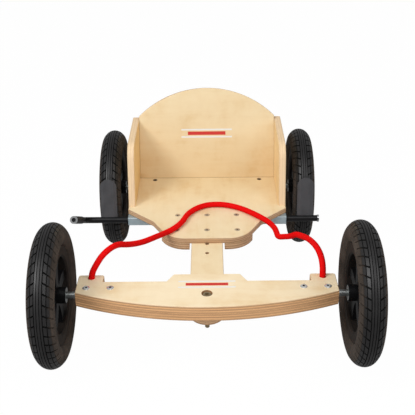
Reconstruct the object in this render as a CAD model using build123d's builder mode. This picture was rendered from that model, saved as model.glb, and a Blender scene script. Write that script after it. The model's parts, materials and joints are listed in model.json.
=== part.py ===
from build123d import *
import os
from math import asin, cos, degrees, radians, sin, tan

os.makedirs("parts", exist_ok=True)

# A wooden soapbox car with four pneumatic wheels, steered by a rope on its swinging front beam.
# Millimetres. Origin on the floor midway between the axles, -Y forward, +X to the rider's left, +Z up.

# Stance
wheelbase = 557.0
wheel_radius = 158.0
tyre_width = 57.0
front_tyre_gap = 22.0     # between the tyre and the end of the beam
rear_tyre_gap = 21.5      # between the tyre and the side panel

# Clearances
running_gap = 0.08        # shaft in its bore
fit_gap = 0.2             # parts that only lie in one another
swing_gap = 0.3           # between faces of bodies that move past each other
screw_gap = 0.1           # screw or bolt in its hole

# Boards
beam_ply = 18.0
spine_ply = 18.0
seat_ply = 15.0
panel_ply = 18.0
back_ply = 18.0
edge_break = 1.2          # sharp edges taken off
panel_round = 2.5

# Axles and wheel hubs
axle_radius = 6.0
axle_washer_radius = 12.0
axle_washer_thickness = 2.0
axle_nut_across = 19.0
axle_nut_height = 10.0
axle_end = 3.0
hub_length = 58.0
hub_radius = 18.0
bearing_radius = 16.0
bearing_width = 10.0
bearing_race = 2.4
bearing_recess = 0.6
hub_bore_radius = 12.0
spacer_radius = 7.6

# Rim and tyre section
tyre_height = 56.5        # from the bead to the tread
bead_half = 16.0
bead_toe = 4.5            # height of the straight bead inside the tyre
flange_height = 6.0
flange_thickness = 3.5
rim_depth = 17.5
rim_lip = 4.0
spoke_count = 5
spoke_width = 24.0
spoke_thickness = 22.0
spoke_bow = 9.0
tyre_wall = 4.0
tyre_bulge_height = 27.5
shoulder_half = 21.0
shoulder_drop = 10.0
tread_groove_width = 2.6
tread_groove_depth = 3.0
tread_grooves = (-15.5, -5.5, 5.5, 15.5)
tube_wall = 2.0
valve_radius = 4.0
valve_length = 42.0
valve_angle = 36.0

# Steering beam
beam_half = 282.0
beam_nose = 73.0          # front edge ahead of the axle, at the middle
beam_end_nose = 17.0      # the same at the ends
beam_tail = 24.0
lower_board_tail = 20.0
tab_tail = 50.0
tab_width = 56.0
bump_tail = 51.0
bump_base_half = 88.0
bump_tip_half = 73.0
rope_hole_inset = 28.5     # from the end of the beam
rope_hole_ahead = 12.0     # from the rear edge of the tab
rope_radius = 7.0
rope_hole_gap = 0.6
beam_bolt_insets = (74.0, 22.0)
small_bolt_radius = 3.0
beam_cap_radius = 8.0
seat_cap_radius = 6.7
rear_cap_radius = 6.0
bolt_cap_thickness = 2.0
bolt_cap_key = 5.0
bolt_nut_radius = 8.0
bolt_nut_height = 6.0

# Pivot
pivot_s = -23.0
pivot_radius = 5.0
pivot_sink_radius = 12.0
pivot_sink_depth = 11.0
pivot_head_radius = 9.0
pivot_head_height = 6.5
pivot_key = 8.0
pivot_washer_thickness = 2.0
pivot_spacer_radius = 20.0
pivot_nut_across = 17.0
pivot_nut_height = 10.0
pivot_bolt_length = 80.0

# Spine plank
spine_half = 38.0
spine_gap = 2.0           # between the plank and the brake housing
spine_hole_radius = 4.75
spine_holes_ahead = (170.0, 128.0, 86.0, 53.0, 11.0)

# Seat board and its blocks, set out ahead of the rear axle and behind it
lobe_ahead = 315.4
lobe_half = 90.0
lobe_corner = 65.0
shoulder_x = 136.0
shoulder_ahead = 231.4
shoulder_corner = 20.0
wing_ahead = 166.4
seat_behind = 43.6
seat_corner = 8.0
block_outer = 113.0
block_gap = 5.0
seat_bolts_ahead = (86.0, 11.0)
seat_bolt_x = 75.0
seat_bolt_radius = 4.0

# Side panels and backrest
panel_inner = 186.5
panel_ahead = 154.4       # of the rear axle
panel_height = 152.0
panel_lean = 15.7
panel_corner = 45.0
back_foot_behind = 11.6   # the rear axle
back_lean = 20.0
back_side_height = 172.0
back_peak_height = 248.0

# Rear axle bearer
bearer_width = 60.0
rear_bolt_inset = 60.0

# Brake
housing_size = 22.0
housing_wall = 1.5
shaft_radius = 8.0
shaft_wall = 2.0
shaft_left_end = 285.5
lever_x = -316.5
lever_bend = 34.0
lever_length = 172.0
lever_angle = 30.0
grip_radius = 9.3
grip_length = 105.0
plug_head = 4.0
plug_dish_radius = 5.0
plug_dish_depth = 3.0
plug_stem = 20.0
bush_flange_radius = 12.0
bush_flange = 3.0
bush_stem = 15.0
shoe_width = 42.0
shoe_flat = 26.0
shoe_fold = 3.0
shoe_plate = 3.0
shoe_height = 107.0
shoe_lean = 14.7
lining_thickness = 5.0
lining_start = 34.0
shoe_gap = 4.9            # between the lining and the tyre at rest
stop_pin_radius = 2.5
stop_pin_length = 18.0
stop_slot_travel = 1.0
bracket_x = 150.0
bracket_width = 30.0
bracket_thickness = 2.0
bracket_foot = 22.0
bracket_screw_spread = 8.0

# Screws
screw_radius = 2.2
screw_length = 40.0
bearer_screw_length = 50.0
bracket_screw_length = 12.0
foot_screw_front = 23.0    # behind the front edge of the panel
foot_screw_rear = 63.0     # ahead of the backrest
back_screw_heights = (45.0, 125.0)
back_foot_screw_x = 90.0
back_foot_screw_shift = 5.0

# Worked out from the values above. The boards share one sloping plane, called board:
# x runs along X, s runs rearward along the spine, n stands square to the boards.
# n = 0 is the top of the spine and the underside of the seat board.
front_axle_n = pivot_washer_thickness + beam_ply
rear_axle_n = -(axle_radius + fit_gap)
pitch = asin((front_axle_n - rear_axle_n) / wheelbase)
rear_axle_s = wheelbase * cos(pitch)
board = Plane(
    origin=(
        0,
        -wheelbase / 2 + front_axle_n * sin(pitch),
        wheel_radius - front_axle_n * cos(pitch),
    ),
    x_dir=(1, 0, 0),
    z_dir=(0, -sin(pitch), cos(pitch)),
)
side_view = Plane(origin=board.origin, x_dir=board.y_dir, z_dir=(1, 0, 0))
beam_bottom = pivot_washer_thickness
beam_top = beam_bottom + 2 * beam_ply
seat_top = seat_ply
panel_outer = panel_inner + panel_ply
hub_half = hub_length / 2
spacer_gap = swing_gap
outboard = hub_half + swing_gap + axle_washer_thickness + axle_nut_height + axle_end
groove_width = 2 * (axle_radius + fit_gap)
bead_radius = wheel_radius - tyre_height
flange_radius = bead_radius + flange_height
rim_inner_radius = bead_radius - rim_depth
tyre_bulge_radius = bead_radius + tyre_bulge_height
front_track = 2 * (beam_half + front_tyre_gap) + tyre_width
rear_track = 2 * (panel_outer + rear_tyre_gap) + tyre_width
rope_hole_x = beam_half - rope_hole_inset
rope_hole_s = tab_tail - rope_hole_ahead
beam_bolt_columns = [beam_half - inset for inset in beam_bolt_insets]
rear_bolt_x = panel_outer - rear_bolt_inset
housing_n = -housing_size / 2
shoe_tilt = radians(shoe_lean)
shoe_stack = shoe_plate / 2 + lining_thickness + shoe_gap
housing_ahead = (
    wheel_radius + shoe_stack + (rear_axle_n - housing_n) * sin(shoe_tilt)
) / cos(shoe_tilt)
housing_s = rear_axle_s - housing_ahead
spine_tail = housing_s - housing_size / 2 - spine_gap
lobe_front = rear_axle_s - lobe_ahead
shoulder_s = rear_axle_s - shoulder_ahead
wing_s = rear_axle_s - wing_ahead
seat_tail = rear_axle_s + seat_behind
panel_front_s = rear_axle_s - panel_ahead
back_foot_s = rear_axle_s + back_foot_behind


def world(x, s, n):
    return board.from_local_coords(Vector(x, s, n))


def finish(piece, name):
    piece.label = name
    export_step(piece, f"parts/{name}.step")


def both_sides(*columns):
    return [sign * column for column in columns for sign in (-1, 1)]


# Round stock from plane downward at each of the points
def pegs(plane, points, radius, length, mode=Mode.ADD):
    with BuildSketch(plane) as disks:
        with Locations(*points):
            Circle(radius)
    extrude(disks.sketch, amount=-length, mode=mode)


# Edges that lie whole in one of the planes at these heights above plane
def edges_at(piece, plane, heights):
    levels = [(plane.to_local_coords(edge.center()).Z, edge) for edge in piece.edges()]
    return [edge for level, edge in levels if any(abs(level - h) < 1e-3 for h in heights)]


# Countersunk screw, or with a gap its hole, from plane downward at each of the points
def countersunk(plane, points, length, gap=0.0, mode=Mode.ADD):
    head = 2 * screw_radius
    pegs(plane, points, screw_radius + gap, length + gap, mode)
    for x, y in points:
        cone = Cone(screw_radius + gap, head + gap, head - screw_radius, mode=Mode.PRIVATE)
        middle = plane.offset(-(head - screw_radius) / 2).location * Pos(x, y, 0)
        add(middle * cone, mode=mode)


# Bolts with a low round head sunk or standing on plane, a hexagon key hole and a plain shank
def cap_bolts(plane, points, cap, shank, length):
    pegs(plane.offset(bolt_cap_thickness), points, cap, bolt_cap_thickness)
    pegs(plane, points, shank, length)
    with BuildSketch(plane.offset(bolt_cap_thickness)) as keys:
        with Locations(*points):
            RegularPolygon(bolt_cap_key / 2, 6, major_radius=False)
    extrude(keys.sketch, amount=-bolt_cap_thickness - 1, mode=Mode.SUBTRACT)


# Nuts with a round flange under them, hung below plane
def flange_nuts(plane, points, shank):
    flange = bolt_nut_height / 4
    pegs(plane, points, bolt_nut_radius, flange)
    with BuildSketch(plane) as bodies:
        with Locations(*points):
            RegularPolygon(bolt_nut_radius - 1, 6)
    extrude(bodies.sketch, amount=-bolt_nut_height)
    pegs(plane, points, shank + screw_gap, bolt_nut_height, Mode.SUBTRACT)


# Seat board
def seat_outline():
    with BuildSketch(Plane.XY, mode=Mode.PRIVATE) as shape:
        with BuildLine():
            Polyline(
                (-lobe_half, lobe_front),
                (lobe_half, lobe_front),
                (shoulder_x, shoulder_s),
                (panel_outer, wing_s),
                (panel_outer, seat_tail),
                (-panel_outer, seat_tail),
                (-panel_outer, wing_s),
                (-shoulder_x, shoulder_s),
                close=True,
            )
        make_face()
        rows = shape.vertices().group_by(Axis.Y)
        fillet(rows[0], radius=lobe_corner)
        rows = shape.vertices().group_by(Axis.Y)
        fillet(rows[-1], radius=seat_corner)
        shoulders = [v for v in shape.vertices() if abs(v.Y - shoulder_s) < 1e-3]
        fillet(shoulders, radius=shoulder_corner)
    return shape.sketch


seat_shape = seat_outline()
seat_bolt_rows = [spine_tail - ahead for ahead in seat_bolts_ahead]
spine_bolts = [(0, s) for s in seat_bolt_rows]
block_bolts = [(x, s) for s in seat_bolt_rows for x in both_sides(seat_bolt_x)]
rear_bolts = [(x, rear_axle_s) for x in both_sides(rear_bolt_x)]
panel_mid = panel_inner + panel_ply / 2
panel_foot_rows = (panel_front_s + foot_screw_front, back_foot_s - foot_screw_rear)
panel_foot_points = [(x, s) for s in panel_foot_rows for x in both_sides(panel_mid)]
back_foot_middle = back_foot_s + back_ply / cos(radians(back_lean)) / 2
back_foot_row = back_foot_middle + back_foot_screw_shift
back_foot_points = [(x, back_foot_row) for x in both_sides(back_foot_screw_x)]
bracket_front = housing_s + housing_size / 2
bracket_middle = bracket_front + (bracket_thickness + bracket_foot) / 2
bracket_screw_points = [
    (x + shift, bracket_middle)
    for x in both_sides(bracket_x)
    for shift in (-bracket_screw_spread, bracket_screw_spread)
]

with BuildPart() as seat_board:
    with BuildSketch(board):
        add(seat_shape)
    extrude(amount=seat_ply)
    chamfer(edges_at(seat_board, board, (0, seat_ply)), length=edge_break)
    top_face = board.offset(seat_top)
    for points, cap, shank in (
        (spine_bolts + block_bolts, seat_cap_radius, seat_bolt_radius),
        (rear_bolts, rear_cap_radius, small_bolt_radius),
    ):
        pegs(top_face, points, cap + fit_gap, bolt_cap_thickness, Mode.SUBTRACT)
        pegs(top_face, points, shank + screw_gap, seat_ply, Mode.SUBTRACT)
    countersunk(-board, [(x, -s) for x, s in panel_foot_points], screw_length, screw_gap, Mode.SUBTRACT)
    pegs(board.offset(seat_top), back_foot_points, screw_radius + screw_gap, seat_ply, Mode.SUBTRACT)
    pegs(
        board.offset(bracket_screw_length - bracket_thickness),
        bracket_screw_points,
        screw_radius + screw_gap,
        bracket_screw_length,
        Mode.SUBTRACT,
    )
finish(seat_board.part, "seat_board")

# Blocks under the front lobe, one each side of the spine
block_inner = spine_half + block_gap
for side, sign in (("left", 1), ("right", -1)):
    with BuildPart() as seat_block:
        with BuildSketch(board):
            add(seat_shape)
            with Locations((sign * (block_inner + block_outer) / 2, (lobe_front + spine_tail) / 2)):
                Rectangle(block_outer - block_inner, spine_tail - lobe_front, mode=Mode.INTERSECT)
        extrude(amount=-spine_ply)
        chamfer(edges_at(seat_block, board, (-spine_ply,)), length=edge_break)
        own = [(x, s) for x, s in block_bolts if x * sign > 0]
        pegs(board, own, seat_bolt_radius + screw_gap, spine_ply, Mode.SUBTRACT)
    finish(seat_block.part, f"{side}_seat_block")

# Spine plank with a round nose about the pivot and a row of holes for setting its length
with BuildPart() as spine_plank:
    with BuildSketch(board):
        with Locations((0, (pivot_s + spine_tail) / 2)):
            Rectangle(2 * spine_half, spine_tail - pivot_s)
        with Locations((0, pivot_s)):
            Circle(spine_half)
    extrude(amount=-spine_ply)
    chamfer(edges_at(spine_plank, board, (0, -spine_ply)), length=edge_break)
    spine_holes = [(0, spine_tail - ahead) for ahead in spine_holes_ahead]
    pegs(board, spine_holes, spine_hole_radius, spine_ply, Mode.SUBTRACT)
    pegs(board, [(0, pivot_s)], pivot_radius + screw_gap, spine_ply, Mode.SUBTRACT)
finish(spine_plank.part, "spine_plank")

# Backrest, leaning on its foot on the seat board
lean = radians(back_lean)
back_up = board.y_dir * sin(lean) + board.z_dir * cos(lean)
back_out = board.z_dir * sin(lean) - board.y_dir * cos(lean)
back_face = Plane(origin=world(0, back_foot_s, seat_top), x_dir=(1, 0, 0), z_dir=back_out)


def back_middle(height):
    s = back_foot_s + height * sin(lean) + back_ply / 2 * cos(lean)
    n = seat_top + height * cos(lean) - back_ply / 2 * sin(lean)
    return s, n


back_screw_points = [back_middle(height) for height in back_screw_heights]

with BuildPart() as backrest:
    with BuildSketch(back_face):
        with BuildLine():
            Polyline(
                (-panel_inner, back_side_height),
                (-panel_inner, -back_ply),
                (panel_inner, -back_ply),
                (panel_inner, back_side_height),
            )
            ThreePointArc(
                (panel_inner, back_side_height),
                (0, back_peak_height),
                (-panel_inner, back_side_height),
            )
        make_face()
    extrude(amount=-back_ply)
    split(bisect_by=board.offset(seat_top), keep=Keep.TOP)
    crest = [e for e in edges_at(backrest, back_face, (0, -back_ply)) if e.geom_type == GeomType.CIRCLE]
    fillet(crest, radius=panel_round)
    back_screw_depth = screw_length - panel_ply
    for sign in (-1, 1):
        edge = side_view.offset(sign * panel_inner)
        with BuildSketch(edge):
            with Locations(*back_screw_points):
                Circle(screw_radius + screw_gap)
        extrude(amount=-sign * (back_screw_depth + screw_gap), mode=Mode.SUBTRACT)
    pegs(
        board.offset(bearer_screw_length - spine_ply + screw_gap),
        back_foot_points,
        screw_radius + screw_gap,
        bearer_screw_length,
        Mode.SUBTRACT,
    )
finish(backrest.part, "backrest")

# Side panels, standing on the seat board with the backrest between them
back_tail_s = back_foot_s + back_ply / cos(lean)
for side, sign in (("left", 1), ("right", -1)):
    with BuildPart() as side_panel:
        with BuildSketch(side_view.offset(sign * panel_inner)) as profile:
            with BuildLine():
                Polyline(
                    (panel_front_s, seat_top),
                    (panel_front_s + panel_height * tan(radians(panel_lean)), seat_top + panel_height),
                    (back_tail_s + panel_height * tan(lean), seat_top + panel_height),
                    (back_tail_s, seat_top),
                    close=True,
                )
            make_face()
            upper = profile.vertices().group_by(Axis.Y)[-1].sort_by(Axis.X)
            fillet(upper[0], radius=panel_corner)
        extrude(amount=sign * panel_ply)
        rims = edges_at(side_panel, side_view, (sign * panel_inner, sign * panel_outer))
        fillet([e for e in rims if board.to_local_coords(e.center()).Z > seat_top + 1], radius=panel_round)
        inward = Plane(origin=world(sign * panel_outer, 0, 0), x_dir=board.y_dir, z_dir=(sign, 0, 0))
        side_points = [(s, sign * n) for s, n in back_screw_points]
        countersunk(inward, side_points, screw_length, screw_gap, Mode.SUBTRACT)
        foot = [(x, s) for x, s in panel_foot_points if x * sign > 0]
        pegs(board.offset(screw_length), foot, screw_radius + screw_gap, screw_length, Mode.SUBTRACT)
    finish(side_panel.part, f"{side}_side_panel")

# Cross bearer that clamps the rear axle up to the seat board
with BuildPart() as rear_axle_bearer:
    with BuildSketch(board):
        with Locations((0, rear_axle_s)):
            Rectangle(2 * panel_outer, bearer_width)
    extrude(amount=-spine_ply)
    with BuildSketch(board):
        with Locations((0, rear_axle_s)):
            Rectangle(2 * (panel_outer + fit_gap), groove_width)
    extrude(amount=-groove_width, mode=Mode.SUBTRACT)
    pegs(board, rear_bolts, small_bolt_radius + screw_gap, spine_ply, Mode.SUBTRACT)
    countersunk(
        -board.offset(-spine_ply),
        [(x, -s) for x, s in back_foot_points],
        bearer_screw_length,
        screw_gap,
        Mode.SUBTRACT,
    )
finish(rear_axle_bearer.part, "rear_axle_bearer")


# Front beam: two boards with the axle in a groove between them
def beam_outline(tail, with_tabs):
    with BuildSketch(Plane.XY, mode=Mode.PRIVATE) as shape:
        with BuildLine():
            ThreePointArc((-beam_half, -beam_end_nose), (0, -beam_nose), (beam_half, -beam_end_nose))
            if with_tabs:
                Polyline(
                    (beam_half, -beam_end_nose),
                    (beam_half, tab_tail),
                    (beam_half - tab_width, tab_tail),
                    (beam_half - tab_width, tail),
                    (bump_base_half, tail),
                    (bump_tip_half, bump_tail),
                    (-bump_tip_half, bump_tail),
                    (-bump_base_half, tail),
                    (-beam_half + tab_width, tail),
                    (-beam_half + tab_width, tab_tail),
                    (-beam_half, tab_tail),
                    (-beam_half, -beam_end_nose),
                )
            else:
                Polyline(
                    (beam_half, -beam_end_nose),
                    (beam_half, tail),
                    (-beam_half, tail),
                    (-beam_half, -beam_end_nose),
                )
        make_face()
        if with_tabs:
            rear = [v for v in shape.vertices() if v.Y > tail + 1]
            fillet(rear, radius=5)
    return shape.sketch


beam_bolts_at = [(x, 0) for x in both_sides(*beam_bolt_columns)]
rope_holes_at = [(x, rope_hole_s) for x in both_sides(rope_hole_x)]
axle_layer = board.offset(front_axle_n)

with BuildPart() as beam_bottom_board:
    with BuildSketch(board.offset(beam_bottom)):
        add(beam_outline(lower_board_tail, False))
    extrude(amount=beam_ply)
    with BuildSketch(axle_layer):
        Rectangle(2 * (beam_half + fit_gap), groove_width)
    extrude(amount=-groove_width / 2, mode=Mode.SUBTRACT)
    chamfer(edges_at(beam_bottom_board, board, (beam_bottom,)), length=edge_break)
    pegs(axle_layer, beam_bolts_at, small_bolt_radius + screw_gap, beam_ply, Mode.SUBTRACT)
    pegs(axle_layer, [(0, pivot_s)], pivot_radius + running_gap, beam_ply, Mode.SUBTRACT)
finish(beam_bottom_board.part, "beam_bottom_board")

with BuildPart() as beam_top_board:
    with BuildSketch(axle_layer):
        add(beam_outline(beam_tail, True))
    extrude(amount=beam_ply)
    with BuildSketch(axle_layer):
        Rectangle(2 * (beam_half + fit_gap), groove_width)
    extrude(amount=groove_width / 2, mode=Mode.SUBTRACT)
    chamfer(edges_at(beam_top_board, board, (beam_top,)), length=edge_break)
    top_face = board.offset(beam_top)
    pegs(top_face, beam_bolts_at, small_bolt_radius + screw_gap, beam_ply, Mode.SUBTRACT)
    pegs(top_face, rope_holes_at, rope_radius + rope_hole_gap, beam_ply, Mode.SUBTRACT)
    pegs(top_face, [(0, pivot_s)], pivot_radius + running_gap, beam_ply, Mode.SUBTRACT)
    pegs(top_face, [(0, pivot_s)], pivot_sink_radius, pivot_sink_depth, Mode.SUBTRACT)
finish(beam_top_board.part, "beam_top_board")

# Axles: plain rods cross drilled for the bolts that hold them
for name, layer_n, track, s, columns in (
    ("front_axle", front_axle_n, front_track, 0, beam_bolt_columns),
    ("rear_axle", rear_axle_n, rear_track, rear_axle_s, (rear_bolt_x,)),
):
    half = track / 2 + outboard
    with BuildPart() as axle:
        with BuildSketch(side_view.offset(-half)):
            with Locations((s, layer_n)):
                Circle(axle_radius)
        extrude(amount=2 * half)
        chamfer(axle.edges().filter_by(GeomType.CIRCLE), length=1)
        drill = board.offset(layer_n + axle_radius + 1)
        holes = [(x, s) for x in both_sides(*columns)]
        pegs(drill, holes, small_bolt_radius + screw_gap, 2 * axle_radius + 2, Mode.SUBTRACT)
    finish(axle.part, name)

# Bolts and nuts through the beam, the seat and the rear axle
with BuildPart() as beam_bolts:
    beam_bolt_length = 2 * beam_ply + bolt_nut_height
    cap_bolts(board.offset(beam_top), beam_bolts_at, beam_cap_radius, small_bolt_radius, beam_bolt_length)
finish(beam_bolts.part, "beam_bolts")

with BuildPart() as beam_bolt_nuts:
    flange_nuts(board.offset(beam_bottom), beam_bolts_at, small_bolt_radius)
finish(beam_bolt_nuts.part, "beam_bolt_nuts")

sunk_head = board.offset(seat_top - bolt_cap_thickness)
sunk_length = seat_ply - bolt_cap_thickness + spine_ply + bolt_nut_height
with BuildPart() as seat_bolts:
    cap_bolts(sunk_head, spine_bolts + block_bolts, seat_cap_radius, seat_bolt_radius, sunk_length)
finish(seat_bolts.part, "seat_bolts")

with BuildPart() as seat_bolt_nuts:
    flange_nuts(board.offset(-spine_ply), spine_bolts + block_bolts, seat_bolt_radius)
finish(seat_bolt_nuts.part, "seat_bolt_nuts")

with BuildPart() as rear_axle_bolts:
    cap_bolts(sunk_head, rear_bolts, rear_cap_radius, small_bolt_radius, sunk_length)
finish(rear_axle_bolts.part, "rear_axle_bolts")

with BuildPart() as rear_axle_bolt_nuts:
    flange_nuts(board.offset(-spine_ply), rear_bolts, small_bolt_radius)
finish(rear_axle_bolt_nuts.part, "rear_axle_bolt_nuts")

# Wood screws of the seat box
with BuildPart() as panel_foot_screws:
    countersunk(-board, [(x, -s) for x, s in panel_foot_points], screw_length)
finish(panel_foot_screws.part, "panel_foot_screws")

with BuildPart() as backrest_foot_screws:
    countersunk(-board.offset(-spine_ply), [(x, -s) for x, s in back_foot_points], bearer_screw_length)
finish(backrest_foot_screws.part, "backrest_foot_screws")

with BuildPart() as panel_side_screws:
    for sign in (-1, 1):
        inward = Plane(origin=world(sign * panel_outer, 0, 0), x_dir=board.y_dir, z_dir=(sign, 0, 0))
        countersunk(inward, [(s, sign * n) for s, n in back_screw_points], screw_length)
finish(panel_side_screws.part, "panel_side_screws")

# Pivot bolt of the beam, with its washers and nut
bolt_seat = beam_top - pivot_sink_depth + swing_gap
pivot_at = [(0, pivot_s)]
with BuildPart() as pivot_bolt:
    head_seat = board.offset(bolt_seat + pivot_washer_thickness)
    pegs(head_seat, pivot_at, pivot_radius, pivot_bolt_length)
    with BuildSketch(head_seat):
        with Locations(*pivot_at):
            Circle(pivot_head_radius)
    extrude(amount=pivot_head_height)
    with BuildSketch(head_seat.offset(pivot_head_height)):
        with Locations(*pivot_at):
            RegularPolygon(pivot_key / 2, 6, major_radius=False)
    extrude(amount=-pivot_head_height + 1.5, mode=Mode.SUBTRACT)
    chamfer(pivot_bolt.edges().filter_by(GeomType.CIRCLE).group_by(Axis.Z)[0], length=1)
finish(pivot_bolt.part, "pivot_bolt")

with BuildPart() as pivot_washers:
    pivot_hole = pivot_radius + screw_gap
    for top, radius, thickness in (
        (bolt_seat + pivot_washer_thickness, pivot_sink_radius - 1, pivot_washer_thickness),
        (pivot_washer_thickness - swing_gap, pivot_spacer_radius, pivot_washer_thickness - swing_gap),
        (-spine_ply, pivot_spacer_radius / 2 + 2, pivot_washer_thickness),
    ):
        pegs(board.offset(top), pivot_at, radius, thickness)
        pegs(board.offset(top), pivot_at, pivot_hole, thickness, Mode.SUBTRACT)
finish(pivot_washers.part, "pivot_washers")

with BuildPart() as pivot_nut:
    nut_top = board.offset(-spine_ply - pivot_washer_thickness)
    with BuildSketch(nut_top):
        with Locations(*pivot_at):
            RegularPolygon(pivot_nut_across / 2, 6, major_radius=False)
            Circle(pivot_hole, mode=Mode.SUBTRACT)
    extrude(amount=-pivot_nut_height)
finish(pivot_nut.part, "pivot_nut")

# Spacers between the boards and the hubs, then washers and lock nuts outside the hubs
for end, track, s, layer_n, inner in (
    ("front", front_track, 0, front_axle_n, beam_half),
    ("rear", rear_track, rear_axle_s, rear_axle_n, panel_outer),
):
    with BuildPart() as wheel_spacers:
        for sign in (-1, 1):
            length = track / 2 - hub_half - swing_gap - inner
            with BuildSketch(side_view.offset(sign * inner)):
                with Locations((s, layer_n)):
                    Circle(spacer_radius)
                    Circle(axle_radius + screw_gap, mode=Mode.SUBTRACT)
            extrude(amount=sign * length)
    finish(wheel_spacers.part, f"{end}_wheel_spacers")

    with BuildPart() as axle_washers:
        for sign in (-1, 1):
            with BuildSketch(side_view.offset(sign * (track / 2 + hub_half + swing_gap))):
                with Locations((s, layer_n)):
                    Circle(axle_washer_radius)
                    Circle(axle_radius + screw_gap, mode=Mode.SUBTRACT)
            extrude(amount=sign * axle_washer_thickness)
    finish(axle_washers.part, f"{end}_axle_washers")

    with BuildPart() as axle_nuts:
        for sign in (-1, 1):
            nut_seat = track / 2 + hub_half + swing_gap + axle_washer_thickness
            with BuildSketch(side_view.offset(sign * nut_seat)):
                with Locations((s, layer_n)):
                    RegularPolygon(axle_nut_across / 2, 6, major_radius=False)
                    Circle(axle_radius + screw_gap, mode=Mode.SUBTRACT)
            extrude(amount=sign * axle_nut_height)
    finish(axle_nuts.part, f"{end}_axle_nuts")


# Section of the space inside the tyre, drawn across the wheel, shrunk by inset
def air_space(inset):
    base_half = bead_half - tyre_wall - inset
    bulge_half = tyre_width / 2 - tyre_wall - inset
    upper_half = shoulder_half - tyre_wall + 1 - inset * 0.8
    upper_radius = wheel_radius - shoulder_drop - tyre_wall - inset * 0.7
    crown = wheel_radius - tyre_wall - tread_groove_depth - inset
    base = bead_radius + inset
    toe = bead_radius + bead_toe + inset * 0.6
    with BuildSketch(Plane.XY, mode=Mode.PRIVATE) as shape:
        with BuildLine():
            Polyline((base_half, toe), (base_half, base), (-base_half, base), (-base_half, toe))
            ThreePointArc((-base_half, toe), (-bulge_half, tyre_bulge_radius), (-upper_half, upper_radius))
            ThreePointArc((-upper_half, upper_radius), (0, crown), (upper_half, upper_radius))
            ThreePointArc((upper_half, upper_radius), (bulge_half, tyre_bulge_radius), (base_half, toe))
        make_face()
    return shape.sketch


rim_seat = bead_radius - fit_gap
rim_half = bead_half + flange_thickness
spoke_root = hub_radius - 4
spoke_tip = rim_inner_radius + 4
spoke_arc = ThreePointArc((spoke_root, 0), ((spoke_root + spoke_tip) / 2, spoke_bow), (spoke_tip, 0))

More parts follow.
